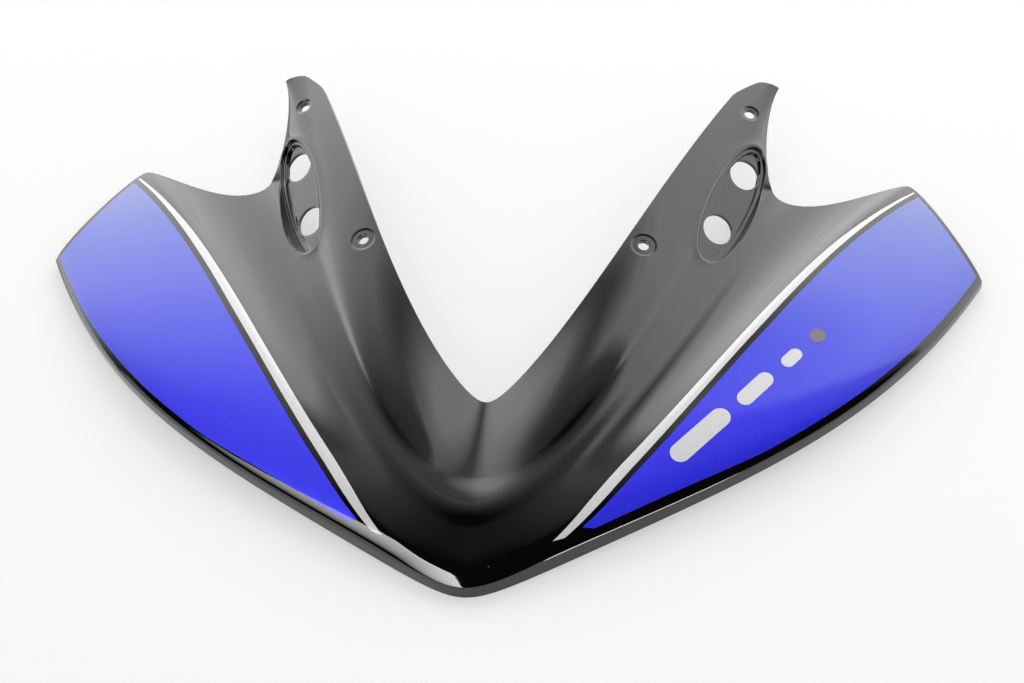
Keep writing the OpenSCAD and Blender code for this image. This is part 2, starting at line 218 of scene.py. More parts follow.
def stripeMiddle(u):
    # how far the stripe's middle lies from the crease towards the rim
    return 35 * (u - 0.52) ** 2 + 60 * np.maximum(0, 0.36 - u) ** 1.5 - 1.8


def stripeHalf(u):
    outward = np.minimum(1, (1 - u) / films["taper"] + 0.15)
    return films["stripe"] / 2 * outward * (0.6 + 0.4 * np.minimum(1, 2 * u))


def stripeLow(u):
    return fromCrease(stripeMiddle(u) + stripeHalf(u), u)


def stripeHigh(u):
    return fromCrease(stripeMiddle(u) - stripeHalf(u), u)


def fieldTop(u):
    # the field's upper edge, beside the stripe; fieldLow is its lower edge, inside the rim
    return np.maximum(fromCrease(stripeMiddle(u) + stripeHalf(u) + films["gap"], u), 1.3)


def fieldLow(u):
    low = fromRim(films["inset"] + films["draw"] * np.maximum(0, 1 - 2 * u) ** 1.2, u)
    return np.minimum(low, fieldTop(u) - 0.02)


# The skin of the right half is one sheet of places, each with a point on the face and one behind it
sheet = {"face": [], "back": [], "cells": []}


def addPoints(face, back):
    first = len(sheet["face"])
    sheet["face"].extend(np.asarray(face).reshape(-1, 3))
    sheet["back"].extend(np.asarray(back).reshape(-1, 3))
    return np.arange(first, len(sheet["face"]))


def addSkin(u, c, depth=None):
    u, c = np.broadcast_arrays(np.asarray(u, float), np.asarray(c, float))
    point = skinPoint(u, c)
    return addPoints(point, point - (depth or s["wall"]) * skinNormal(u, c)).reshape(u.shape)


def bridge(a, b):
    # cells between two closed rings of the same length, a outside b
    n = len(a)
    for k in range(n):
        sheet["cells"].append((a[k], a[(k + 1) % n], b[(k + 1) % n], b[k]))


# columns run out along the wing and the arm; rows lie closer at the rim (1), the crease (2) and the root (4)
cornerGap = 1.4 / np.linalg.norm(topCorner)
wingColumns = np.concatenate([
    np.linspace(0, 1, 104) ** 1.2 * (1 - 3 * cornerGap), [1 - 2 * cornerGap, 1 - cornerGap, 1]])
armColumns = 1 + np.concatenate([[0.03], np.linspace(0.06, 0.985, 30), [1]])
rows = np.concatenate([
    [0, 0.12, 0.3, 0.5, 0.68, 0.8, 0.88, 0.94, 0.98], [1, 1.02, 1.05, 1.09, 1.14, 1.2],
    np.arange(1.27, 1.72, 0.075), [1.77, 1.82, 1.86, 1.895, 1.925, 1.95, 1.97, 1.985],
    [2, 2.015, 2.03, 2.05, 2.08, 2.12, 2.165, 2.22],
    np.arange(2.29, 2.96, 0.08), np.arange(3.0, 3.95, 0.0667), [4, 4.05, 4.1],
    np.arange(4.18, 4.95, 0.07), np.arange(5, 5.9, 0.0667), [5.92, 5.955, 5.98, 6]])
rootRow = int(np.argmin(np.abs(rows - 4)))


def armRound(u, c):
    # the inner corner of the tip is rounded back
    a = u - 1
    t = np.clip((c - 4.5) / 1.5, 0, 1)
    back = s["tipRound"] * (1 - np.sqrt(1 - t * t)) * np.maximum(0, (a - 0.35) / 0.65) ** 1.7
    return np.where(a > 0, u - back, u)


allColumns = np.concatenate([wingColumns, armColumns])
lastWing = len(wingColumns) - 1
grid = -np.ones((len(allColumns), len(rows)), int)
gridU, gridC = np.meshgrid(allColumns, rows, indexing="ij")
gridU = armRound(gridU, gridC)
for i in range(len(allColumns)):
    j0 = 0 if i <= lastWing else rootRow
    grid[i, j0:] = addSkin(gridU[i, j0:], gridC[i, j0:])
gridCells = {(i, j) for i in range(len(allColumns) - 1)
             for j in range(0 if i < lastWing else rootRow, len(rows) - 1)}


def cutBlock(cells):
    # takes the cells out of the sheet and gives the ring of places round the hole
    gridCells.difference_update(cells)
    follow = {}
    cellSet = set(cells)
    for i, j in cellSet:
        ring = ((i, j), (i, j + 1), (i + 1, j + 1), (i + 1, j))
        beside = ((i - 1, j), (i, j + 1), (i + 1, j), (i, j - 1))
        for k in range(4):
            if beside[k] not in cellSet:
                follow[ring[k]] = ring[(k + 1) % 4]
    start = min(follow)
    loop = [start]
    while follow[loop[-1]] != start:
        loop.append(follow[loop[-1]])
    return loop


# The screw holes on each arm, with their places (u, c) on the skin, and the round seats they stand in
screws = {
    "tip": {"at": (1.735, 4.7), "hole": 6, "seat": 10, "deep": 0.5},
    "middle": {"at": (0.842, 5.61), "hole": 6, "seat": 14, "deep": 0.3},
}


def seatScrew(spec):
    # opens the sheet round a screw hole and draws it in by rings, over the seat and down the bore
    u0, c0 = spec["at"]
    middle, n = skinPoint(u0, c0), skinNormal(u0, c0)
    x = unit(np.cross((0, 1, 0), n))
    axes = np.stack([x, np.cross(n, x), n], 1)
    radius = spec["seat"] / 2
    flat = (skinPoint(gridU, gridC) - middle) @ axes
    inside = np.hypot(flat[..., 0], flat[..., 1]) < radius + 1.2
    inside &= (np.abs(gridC - c0) < 1.2) & (grid >= 0)
    iHit, jHit = np.where(inside)
    jFirst = max(jHit.min() - 1, rootRow)
    block = [(i, j) for i in range(iHit.min() - 1, iHit.max() + 1) for j in range(jFirst, jHit.max() + 1)]
    loop = cutBlock([c for c in block if c in gridCells])
    place = np.array([(gridU[i, j], gridC[i, j]) for i, j in loop])
    flatLoop = (skinPoint(place[:, 0], place[:, 1]) - middle) @ axes
    turn = np.arctan2(flatLoop[:, 1], flatLoop[:, 0])
    # evens the angles a little so that the ring stays round
    way = np.sign(np.sum(np.angle(np.exp(1j * (np.roll(turn, -1) - turn)))))
    even = turn[0] + way * np.arange(len(loop)) * 2 * np.pi / len(loop)
    even += np.mean(np.angle(np.exp(1j * (turn - even))))
    angle = even + 0.5 * np.angle(np.exp(1j * (turn - even)))
    around = np.stack([np.cos(angle), np.sin(angle)], 1)
    uRange = (max(place[:, 0].min() - 0.01, 0), min(place[:, 0].max() + 0.01, 2))
    cRange = (place[:, 1].min() - 0.02, min(place[:, 1].max() + 0.02, 6))
    outer = np.array([grid[i, j] for i, j in loop])
    for grow in (1.0, 0.35):
        at = findOnSkin(around * (radius + grow), middle, axes, uRange, cRange)
        ring = addSkin(at[:, 0], at[:, 1])
        bridge(outer, ring)
        outer = ring
    rim = (skinPoint(at[:, 0], at[:, 1]) - middle) @ axes
    deep, hole = spec["deep"], spec["hole"] / 2
    steps = [(radius, 0.08), (radius - 0.3, 0.4), (radius - 0.6, 0.75), (radius - 0.95, 0.95),
             (radius - 1.4, 1), (hole + 0.6, 1), (hole + 0.15, 1.15), (hole, 1.6)]
    for r, share in steps:
        # the seat's floor keeps the bend of the skin round it
        xy = around * r
        bent = rim[:, 2] * (r / radius) ** 2
        local = np.concatenate([xy, (bent - share * deep)[:, None]], 1)
        under = np.concatenate([xy, (bent - s["wall"])[:, None]], 1)
        ring = addPoints(middle + local @ axes.T, middle + under @ axes.T)
        bridge(outer, ring)
        outer = ring


# The pocket in each arm: a leaf-shaped well with a ledge round its floor and two stud holes
pocket = {
    "inFromNotch": 21.5, "aheadOfNotch": 12.5, "aboveNotch": 4.8, "turn": 17.5, "lean": 34, "climb": 3,
    "half": 10.5, "front": 43, "rear": 0.55 * (shell["tipBack"] - shell["notch"][1]),
    "ledge": 2.5, "ledgeHigh": 2.0, "stud": 17.0, "pitch": 39.5, "wall": 1.5,
    "swell": 0.5, "swellIn": 1.5, "swellOut": 4.0,
    "clear": 2.4, "rings": (1.7, 1.1, 0.6, 0.25),      # how far out the sheet is cut and drawn in again
}


def leaf(p, front, rear, half, nose):
    # one turn of a pocket's outline, from its front end up the outer side, p from 0 to 1
    p = np.asarray(p, float) % 1
    side = np.where(p > 0.5, -1, 1)
    q = np.where(p > 0.5, 1 - p, p)
    t = np.clip(q / 0.36, 0, 1)
    t = t ** 1.6 if nose else t
    share = np.sqrt(1 - (1 - t) ** 2.6) if nose else 1 - (1 - t) ** 3
    a = np.clip((q - 0.36) / 0.14, 0, 1) * np.pi / 2
    x = np.where(q < 0.36, half * share, half * np.cos(a))
    y = np.where(q < 0.36, front * (t - 1), rear * np.sin(a))
    return np.stack([side * x, y], -1)


def rimOutline(p, grow):
    # the pocket's upper rim, grown outwards; floorOutline is its floor, inside the ledge
    g = pocket["ledge"] + grow
    return leaf(p, pocket["front"] + 1.2 * g, pocket["rear"] + g, pocket["half"] + g, True)


def floorOutline(p, grow):
    return leaf(p, pocket["front"] + 1.4 * grow, pocket["rear"] + grow, pocket["half"] + grow, False)


def pocketFrame():
    # the middle of the pocket's floor, and its axes: x outwards, y along the arm and z up out of it
    origin = notch + (-pocket["inFromNotch"], -pocket["aheadOfNotch"], pocket["aboveNotch"])
    axes = turnAbout("Z", -pocket["turn"]) @ turnAbout("X", pocket["climb"]) @ turnAbout("Y", pocket["lean"])
    return origin, axes


def woundBy(edge, points):
    # true for the points that the closed line edge winds round
    toEdge = edge[None] - points[:, None, :2]
    angle = np.arctan2(toEdge[..., 1], toEdge[..., 0])
    return np.abs(np.sum(np.angle(np.exp(1j * (np.roll(angle, -1, 1) - angle))), 1)) > 3


def sinkPocket():
    # opens the sheet round the pocket and draws it in by rings, down the wall and over the ledge
    origin, axes = pocketFrame()
    dense = np.linspace(0, 1, 1200, endpoint=False)
    edge = rimOutline(dense, pocket["clear"])
    flat = (skinPoint(gridU, gridC) - origin) @ axes
    reachable = (gridU > 0.5) & (gridU < 1.7) & (gridC > 2.6) & (gridC < 5.7) & (grid >= 0)
    inside = np.zeros(gridU.shape, bool)
    inside[reachable] = woundBy(edge, flat[reachable]) & (np.abs(flat[reachable][:, 2]) < 25)
    block = [(i, j) for i, j in gridCells
             if inside[i, j] or inside[i + 1, j] or inside[i, j + 1] or inside[i + 1, j + 1]]
    loop = cutBlock(block)
    place = np.array([(gridU[i, j], gridC[i, j]) for i, j in loop])
    flatLoop = (skinPoint(place[:, 0], place[:, 1]) - origin) @ axes
    gap = np.linalg.norm(flatLoop[:, None, :2] - edge[None], axis=2)
    p = np.unwrap(dense[np.argmin(gap, 1)] * 2 * np.pi) / (2 * np.pi)
    span = np.sign(p[-1] - p[0])
    for _ in range(6):
        before, after = np.roll(p, 1), np.roll(p, -1)
        before[0] -= span
        after[-1] += span
        p = (before + 2 * p + after) / 4
    uRange, cRange = (0.5, 1.75), (2.7, 5.8)
    outer = np.array([grid[i, j] for i, j in loop])
    first = findOnSkin(rimOutline(p, pocket["rings"][0]), origin, axes, uRange, cRange)
    for share in (0.3, 0.65):
        between = (1 - share) * place + share * first
        ring = addSkin(between[:, 0], between[:, 1], pocket["wall"])
        bridge(outer, ring)
        outer = ring
    for grow in pocket["rings"]:
        at = findOnSkin(rimOutline(p, grow), origin, axes, uRange, cRange)
        ring = addSkin(at[:, 0], at[:, 1], pocket["wall"])
        bridge(outer, ring)
        outer = ring
    at = findOnSkin(rimOutline(p, 0), origin, axes, uRange, cRange)
    top = ((skinPoint(at[:, 0], at[:, 1]) - origin) @ axes)[:, 2]
    print("stage: pocket, its walls %.1f to %.1f mm high" % (top.min(), top.max()))
    room = np.clip(top, 0.25, None)
    soft = np.clip(room / 3, 0.06, 1)
    ledge = np.minimum(pocket["ledgeHigh"], 0.5 * room)
    sunk = np.minimum(0, top - 0.25)
    wall = pocket["wall"]
    steps = [
        (rimOutline(p, 0.15), top - 0.12 * soft, rimOutline(p, wall), top - wall - 0.8),
        (rimOutline(p, 0.02), top - 0.45 * soft, rimOutline(p, wall), top - wall - 0.8),
        (rimOutline(p, -0.03), top - 1.0 * soft, rimOutline(p, wall), np.minimum(top - wall - 1, 0)),
        (rimOutline(p, -0.08), sunk + ledge + 0.4 * soft, rimOutline(p, wall - 0.2), sunk - 0.6 * wall),
        (rimOutline(p, -0.4), sunk + ledge, rimOutline(p, wall - 0.8), sunk - wall),
        (floorOutline(p, 0.4), sunk + ledge, floorOutline(p, 1.2), sunk - wall),
        (floorOutline(p, 0.08), sunk + ledge - 0.25 * soft, floorOutline(p, 0.8), sunk - wall),
        (floorOutline(p, 0), sunk + 0.3 * soft, floorOutline(p, 0.3), sunk - wall),
        (floorOutline(p, -0.35), sunk, floorOutline(p, -0.35), sunk - wall),
    ]
    for xy, z, underXy, underZ in steps:
        local = np.concatenate([xy, np.broadcast_to(z, len(xy))[:, None]], 1)
        under = np.concatenate([underXy, np.broadcast_to(underZ, len(xy))[:, None]], 1)
        ring = addPoints(origin + local @ axes.T, origin + under @ axes.T)
        bridge(outer, ring)
        outer = ring
    # the floor is parted across its middle, and each half runs round its own hole
    rim = steps[-1][0]
    right = int(np.argmin(np.abs(rim[:, 1]) + 50 * (rim[:, 0] < 0)))
    left = int(np.argmin(np.abs(rim[:, 1]) + 50 * (rim[:, 0] > 0)))
    n = len(rim)
    across = 10
    line = rim[right] + (rim[left] - rim[right]) * np.linspace(0, 1, across + 1)[1:-1, None]
    depth = np.linspace(sunk[right], sunk[left], across + 1)[1:-1]
    local = np.concatenate([line, depth[:, None]], 1)
    middleIds = addPoints(origin + local @ axes.T, origin + (local - (0, 0, wall)) @ axes.T)
    for a, b, ids, flip in ((right, left, middleIds, 1), (left, right, middleIds, -1)):
        walk = [(a + k) % n for k in range(((b - a) % n) + 1)]
        back = list(ids[::-1]) if flip > 0 else list(ids)
        ringIds = np.array([outer[k] for k in walk] + back)
        xy = np.concatenate([rim[walk], line[::-1] if flip > 0 else line])
        z = np.concatenate([sunk[walk], depth[::-1] if flip > 0 else depth])
        middle = np.array([0, (1 if xy[:, 1].mean() > 0 else -1) * pocket["pitch"] / 2])
        d = xy - middle
        turn = np.unwrap(np.arctan2(d[:, 1], d[:, 0]))
        way = np.sign(turn[-1] - turn[0])
        even = turn[0] + way * np.arange(len(turn)) * 2 * np.pi / len(turn)
        even += np.mean(turn - even)
        angle = 0.35 * turn + 0.65 * even
        around = np.stack([np.cos(angle), np.sin(angle)], 1)
        r = pocket["stud"] / 2
        previous = ringIds
        rings = ((0.5, r + 0.9, 0), (0.85, r + 0.9, 0), (1, r + 0.35, 0), (1, r + 0.1, 0.1), (1, r, 0.35))
        for share, radius, down in rings:
            now = (1 - share) * xy + share * (middle + around * radius)
            high, low = (1 - share) * z - down, (1 - share) * z - wall
            under = now if down == 0 else middle + around * r
            ring = addPoints(origin + np.concatenate([now, high[:, None]], 1) @ axes.T,
                             origin + np.concatenate([under, low[:, None]], 1) @ axes.T)
            bridge(previous, ring)
            previous = ring


def swellRim():
    # the skin stands a little proud in a soft band round the pocket
    origin, axes = pocketFrame()
    face, back = np.array(sheet["face"]), np.array(sheet["back"])
    local = (face - origin) @ axes
    close = np.where((np.hypot(local[:, 0], local[:, 1] + 8) < 48) & (np.abs(local[:, 2]) < 22))[0]
    edge = rimOutline(np.linspace(0, 1, 500, endpoint=False), 0)
    away = np.linalg.norm(edge[None] - local[close][:, None, :2], axis=2).min(1)
    d = np.where(woundBy(edge, local[close]), 0, away)
    rise = np.clip(d / pocket["swellIn"], 0, 1)
    fall = np.clip((d - pocket["swellIn"]) / pocket["swellOut"], 0, 1)
    h = pocket["swell"] * rise * rise * (3 - 2 * rise) * (1 - fall * fall * (3 - 2 * fall))
    h *= np.clip(0.5 - local[close][:, 0] / 12, 0, 1)      # none on the outer side
    face[close] += h[:, None] * unit(face[close] - back[close])
    sheet["face"] = list(face)


for spec in screws.values():
    seatScrew(spec)
sinkPocket()
swellRim()
for i, j in sorted(gridCells):
    sheet["cells"].append((grid[i, j], grid[i, j + 1], grid[i + 1, j + 1], grid[i + 1, j]))
print("stage: sheet", len(sheet["face"]), "places")


def toFrame(points):
    return (np.asarray(points) + s["shift"]) / 1000


def makeObject(name, verts, faces):
    # a mesh with its seams merged and its faces turned outwards
    mesh = bpy.data.meshes.new(name)
    mesh.from_pydata([tuple(map(float, v)) for v in verts], [], [tuple(map(int, f)) for f in faces])
    mesh.validate()
    mesh.update()
    bm = bmesh.new()
    bm.from_mesh(mesh)
    bmesh.ops.remove_doubles(bm, verts=bm.verts, dist=1e-7)
    bmesh.ops.recalc_face_normals(bm, faces=bm.faces)
    loose = [v for v in bm.verts if not v.link_faces]
    bmesh.ops.delete(bm, geom=loose, context="VERTS")
    bm.to_mesh(mesh)
    bm.free()
    for f in mesh.polygons:
        f.use_smooth = True
    ob = bpy.data.objects.new(name, mesh)
    bpy.context.scene.collection.objects.link(ob)
    return ob


def mirroredSheet():
    # the sheet and its mirror image, sharing the places in the middle plane
    face, back = np.array(sheet["face"]), np.array(sheet["back"])
    n = len(face)
    seam = np.abs(face[:, 0]) < 1e-6
    face[seam, 0] = 0
    back[seam, 0] = 0
    other = np.where(seam, np.arange(n), np.arange(n) + n)
    flip = np.array([-1, 1, 1])
    cells = [tuple(c) for c in sheet["cells"]]
    cells += [tuple(other[list(c)][::-1]) for c in sheet["cells"]]
    return np.concatenate([face, face * flip]), np.concatenate([back, back * flip]), cells


def closeSheet(face, back, cells):
    # a face, a back and walls along the open edges
    n = len(face)
    faces = [c[::-1] for c in cells] + [tuple(k + n for k in c) for c in cells]
    count = {}
    for c in cells:
        for k in range(len(c)):
            a, b = c[k], c[(k + 1) % len(c)]
            count[(a, b)] = count.get((a, b), 0) + 1
    for a, b in list(count):
        if (b, a) not in count:
            faces.append((a, b, b + n, a + n))
    return np.concatenate([face, back]), faces


def markSharp(ob):
    ob.data.set_sharp_from_angle(angle=math.radians(shell["sharpAngle"]))


def roundEdges(ob):
    # bevels the sharp edges and keeps the result as the mesh
    markSharp(ob)
    bevel = ob.modifiers.new("bevel", "BEVEL")
    bevel.width = shell["bevel"] / 1000
    bevel.segments = 2
    bevel.limit_method = "ANGLE"
    bevel.angle_limit = math.radians(shell["bevelAngle"])
    weighted = ob.modifiers.new("weighted", "WEIGHTED_NORMAL")
    weighted.keep_sharp = True
    graph = bpy.context.evaluated_depsgraph_get()
    done = bpy.data.meshes.new_from_object(ob.evaluated_get(graph))
    old = ob.data
    ob.modifiers.clear()
    ob.data = done
    done.name = ob.name
    bpy.data.meshes.remove(old)


verts, faces = closeSheet(*mirroredSheet())
shellPiece = makeObject("front_cowl_shell", toFrame(verts), faces)
roundEdges(shellPiece)
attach(shellPiece, "root")
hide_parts("cowl_shell")
print("stage: shell", len(shellPiece.data.polygons), "faces")


outerEnd = 1 - films["endInset"] / np.linalg.norm(topCorner)


def filmPiece(name, node, lowAt, highAt, uFrom, slant, rowCount, side):
    # a thin closed film between two lines over the skin, from uFrom, where slant tilts its end, to outerEnd
    q = np.linspace(0, 1, films["columns"]) ** 1.1
    across = np.linspace(0, 1, rowCount)
    start = uFrom + slant * across
    u = start[None] + (outerEnd - start)[None] * q[:, None]
    low, high = lowAt(u), highAt(u)
    c = low + (high - low) * across[None]
    normal = skinNormal(u, c)
    place = skinPoint(u, c)
    top = (place + (films["lift"] + films["thick"]) * normal) * (side, 1, 1)
    under = (place + films["lift"] * normal) * (side, 1, 1)
    n, m = u.shape
    ids = np.arange(n * m).reshape(n, m)
    cells = [(ids[i, j], ids[i, j + 1], ids[i + 1, j + 1], ids[i + 1, j])
             for i in range(n - 1) for j in range(m - 1)]
    if side < 0:
        cells = [k[::-1] for k in cells]
    verts, faces = closeSheet(top.reshape(-1, 3), under.reshape(-1, 3), cells)
    ob = makeObject(name, toFrame(verts), faces)
    markSharp(ob)
    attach(ob, "root")
    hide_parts(node)
    return ob


pieces = {}
for side, word in ((1, "right"), (-1, "left")):
    pieces["field_" + word] = filmPiece(
        "blue_side_film_" + word, "side_film_" + word, fieldLow, fieldTop,
        films["fieldFrom"], 0, films["fieldRows"], side)
    pieces["stripe_" + word] = filmPiece(
        "pale_stripe_film_" + word, "stripe_film_" + word, stripeLow, stripeHigh,
        films["stripeFrom"], films["stripeSlant"], films["stripeRows"], side)
print("stage: films")


# A plain ornament on the right wing only: three pale rounded bars of falling length and a grey disc,
# each with its place on the skin and its size in millimetres
motif = {
    "bars": ((0.455, 1.60, 40, 11), (0.565, 1.58, 24, 9), (0.64, 1.565, 13, 7.5)),
    "disc": (0.695, 1.555, 4.4), "lift": 0.3, "thick": 0.12,
}


def placeOnWing(name, outline, at):
    # a small flat shape, given in millimetres, laid on the right wing's skin
    middle, up = skinPoint(*at), skinNormal(*at)
    x = unit(skinPoint(at[0] + 0.01, at[1]) - skinPoint(at[0] - 0.01, at[1]))
    axes = np.stack([x, np.cross(up, x), up], 1)
    xy = np.concatenate([outline * k for k in (1, 0.75, 0.5, 0.25)] + [outline[:1] * 0])
    places = findOnSkin(xy, middle, axes, (max(at[0] - 0.25, 0.05), min(at[0] + 0.25, 1)), (1.01, 1.99))
    point, normal = skinPoint(places[:, 0], places[:, 1]), skinNormal(places[:, 0], places[:, 1])
    n = len(outline)
    cells = [(r * n + k, r * n + (k + 1) % n, (r + 1) * n + (k + 1) % n, (r + 1) * n + k)
             for r in range(3) for k in range(n)]
    cells += [(3 * n + k, 3 * n + (k + 1) % n, 4 * n) for k in range(n)]
    high = point + (motif["lift"] + motif["thick"]) * normal
    verts, faces = closeSheet(high, point + motif["lift"] * normal, cells)
    ob = makeObject(name, toFrame(verts), faces)
    markSharp(ob)
    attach(ob, "root")
    return ob


def roundedBar(length, width):
    a = np.linspace(-np.pi / 2, np.pi / 2, 13)
    r = width / 2
    right = np.stack([length / 2 - r + r * np.cos(a), r * np.sin(a)], 1)
    top = np.stack([np.linspace(length / 2 - r, -length / 2 + r, 12)[1:-1], np.full(10, r)], 1)
    return np.concatenate([right, top, -right, -top])


for k, (u0, c0, length, width) in enumerate(motif["bars"]):
    pieces["bar_%d" % k] = placeOnWing("pale_bar_%d" % (k + 1), roundedBar(length, width), (u0, c0))
a = np.linspace(0, 2 * np.pi, 40, endpoint=False)
u0, c0, radius = motif["disc"]
pieces["disc"] = placeOnWing("grey_disc", radius * np.stack([np.cos(a), np.sin(a)], 1), (u0, c0))
print("stage: ornament")


# Materials: shared effects are node groups that give values, and each shader stays in its own material
def newGroup(name, inputs, outputs):
    group = bpy.data.node_groups.new(name, "ShaderNodeTree")
    for label, kind, value in inputs:
        socket = group.interface.new_socket(name=label, in_out="INPUT", socket_type=kind)
        if value is not None:
            socket.default_value = value
    for label, kind in outputs:
        group.interface.new_socket(name=label, in_out="OUTPUT", socket_type=kind)
    return group, group.nodes.new("NodeGroupInput"), group.nodes.new("NodeGroupOutput")


def mathNode(tree, operation, a, b=None, clamp=False):
    node = tree.nodes.new("ShaderNodeMath")
    node.operation = operation
    node.use_clamp = clamp
    for socket, value in zip(node.inputs, (a, b)):
        if value is None:
            continue
        if isinstance(value, (int, float)):
            socket.default_value = value
        else:
            tree.links.new(value, socket)
    return node.outputs[0]


def noiseNode(tree, vector, scale, detail):
    node = tree.nodes.new("ShaderNodeTexNoise")
    node.inputs["Scale"].default_value = scale
    node.inputs["Detail"].default_value = detail
    tree.links.new(vector, node.inputs["Vector"])
    return node.outputs["Fac"]


def rampNode(tree, value, low, high, toLow=0.0, toHigh=1.0):
    node = tree.nodes.new("ShaderNodeMapRange")
    for label, number in (("From Min", low), ("From Max", high), ("To Min", toLow), ("To Max", toHigh)):
        node.inputs[label].default_value = number
    tree.links.new(value, node.inputs["Value"])
    return node.outputs["Result"]


def objectPlace(tree):
    # the place on the object, in its own metres
    return tree.nodes.new("ShaderNodeTexCoord").outputs["Object"]


def placeParts(tree):
    # the same place as its X, Y and Z
    node = tree.nodes.new("ShaderNodeSeparateXYZ")
    tree.links.new(objectPlace(tree), node.inputs[0])
    return node.outputs


paint = {
    "peelScale": 260, "peelHeight": 0.12, "waveScale": 24, "waveHeight": 0.6,
    "hazeScale": 14, "haze": (0.035, 0.075),
    "dustScale": 240, "dustSize": (0.035, 0.075), "dustRare": 0.985, "dustRough": 0.4,
    "bump": 0.25, "bumpHeight": 0.0003,
}


def paintSurfaceGroup():
    # orange peel, faint haze and dust specks
    group, given, result = newGroup(
        "paint_surface",
        (("Peel", "NodeSocketFloat", 1.0), ("Dust", "NodeSocketFloat", 1.0)),
        (("Height", "NodeSocketFloat"), ("Roughness", "NodeSocketFloat"), ("Dust", "NodeSocketFloat")))
    place = objectPlace(group)
    peel = mathNode(group, "MULTIPLY", noiseNode(group, place, paint["peelScale"], 1.5), paint["peelHeight"])
    wave = mathNode(group, "MULTIPLY", noiseNode(group, place, paint["waveScale"], 2), paint["waveHeight"])
    height = mathNode(group, "MULTIPLY", mathNode(group, "ADD", peel, wave), given.outputs["Peel"])
    haze = rampNode(group, noiseNode(group, place, paint["hazeScale"], 4), 0.35, 0.7, *paint["haze"])
    cells = group.nodes.new("ShaderNodeTexVoronoi")
    cells.inputs["Scale"].default_value = paint["dustScale"]
    group.links.new(place, cells.inputs["Vector"])
    speck = rampNode(group, cells.outputs["Distance"], *paint["dustSize"], 1, 0)
    lottery = group.nodes.new("ShaderNodeSeparateColor")
    group.links.new(cells.outputs["Color"], lottery.inputs[0])
    rare = mathNode(group, "GREATER_THAN", lottery.outputs[0], paint["dustRare"])
    dust = mathNode(group, "MULTIPLY", mathNode(group, "MULTIPLY", speck, rare, True), given.outputs["Dust"])
    rough = mathNode(group, "ADD", haze, mathNode(group, "MULTIPLY", dust, paint["dustRough"]))
    group.links.new(height, result.inputs["Height"])
    group.links.new(rough, result.inputs["Roughness"])
    group.links.new(dust, result.inputs["Dust"])
    return group


def flakeGroup():
    # small metal flakes: a value for each flake and a height that tilts them
    group, given, result = newGroup(
        "metal_flake", (("Scale", "NodeSocketFloat", 2600.0),),
        (("Flake", "NodeSocketFloat"), ("Height", "NodeSocketFloat")))
    cells = group.nodes.new("ShaderNodeTexVoronoi")
    group.links.new(objectPlace(group), cells.inputs["Vector"])
    group.links.new(given.outputs["Scale"], cells.inputs["Scale"])
    split = group.nodes.new("ShaderNodeSeparateColor")
    group.links.new(cells.outputs["Color"], split.inputs[0])
    tilt = mathNode(group, "MULTIPLY", split.outputs[1], cells.outputs["Distance"])
    group.links.new(split.outputs[0], result.inputs["Flake"])
    group.links.new(tilt, result.inputs["Height"])
    return group


paintSurface = paintSurfaceGroup()
metalFlake = flakeGroup()


def newMaterial(name):
    material = bpy.data.materials.new(name)
    material.use_nodes = True
    tree = material.node_tree
    return material, tree, tree.nodes["Principled BSDF"]


def useGroup(tree, group, **values):
    node = tree.nodes.new("ShaderNodeGroup")
    node.node_tree = group
    for label, value in values.items():
        node.inputs[label].default_value = value
    return node


def bumpNode(tree, height, strength=paint["bump"], distance=paint["bumpHeight"]):
    node = tree.nodes.new("ShaderNodeBump")
    node.inputs["Strength"].default_value = strength
    node.inputs["Distance"].default_value = distance
    tree.links.new(height, node.inputs["Height"])
    return node.outputs["Normal"]


def mixColour(tree, share, a, b):
    node = tree.nodes.new("ShaderNodeMix")
    node.data_type = "RGBA"
    sockets = [k for k in node.inputs if k.enabled]
    for socket, value in zip(sockets, (share, a, b)):
        if isinstance(value, (int, float, tuple)):
            socket.default_value = value
        else:
            tree.links.new(value, socket)
    return [k for k in node.outputs if k.enabled][0]


looks = {
    "black": (0.003, 0.003, 0.0035, 1), "blackIor": 1.55, "dust": (0.3, 0.3, 0.3, 1),
    "blueDeep": (0.0015, 0.001, 0.85, 1), "blueLight": (0.008, 0.008, 1.0, 1), "blueMetal": 0.2,
    # the pale grey-blue at the wings' outer ends is a painted sheen for a reflection, faded in along Y
    "blueFarSheen": (0.08, 0.13, 0.4, 1), "blueSheenFade": (-0.06, 0.1), "flakeScale": 2300.0,
    "pale": (0.86, 0.86, 0.86, 1), "grey": (0.2, 0.2, 0.23, 1),
}


def blackPaint():
    material, tree, shader = newMaterial("gloss_black_plastic")
    surface = useGroup(tree, paintSurface, Peel=1.0, Dust=1.0)
    colour = mixColour(tree, surface.outputs["Dust"], looks["black"], looks["dust"])
    tree.links.new(colour, shader.inputs["Base Color"])
    tree.links.new(surface.outputs["Roughness"], shader.inputs["Roughness"])
    tree.links.new(bumpNode(tree, surface.outputs["Height"]), shader.inputs["Normal"])
    shader.inputs["IOR"].default_value = looks["blackIor"]
    shader.inputs["Coat Weight"].default_value = 0.5
    shader.inputs["Coat Roughness"].default_value = 0.03
    return material


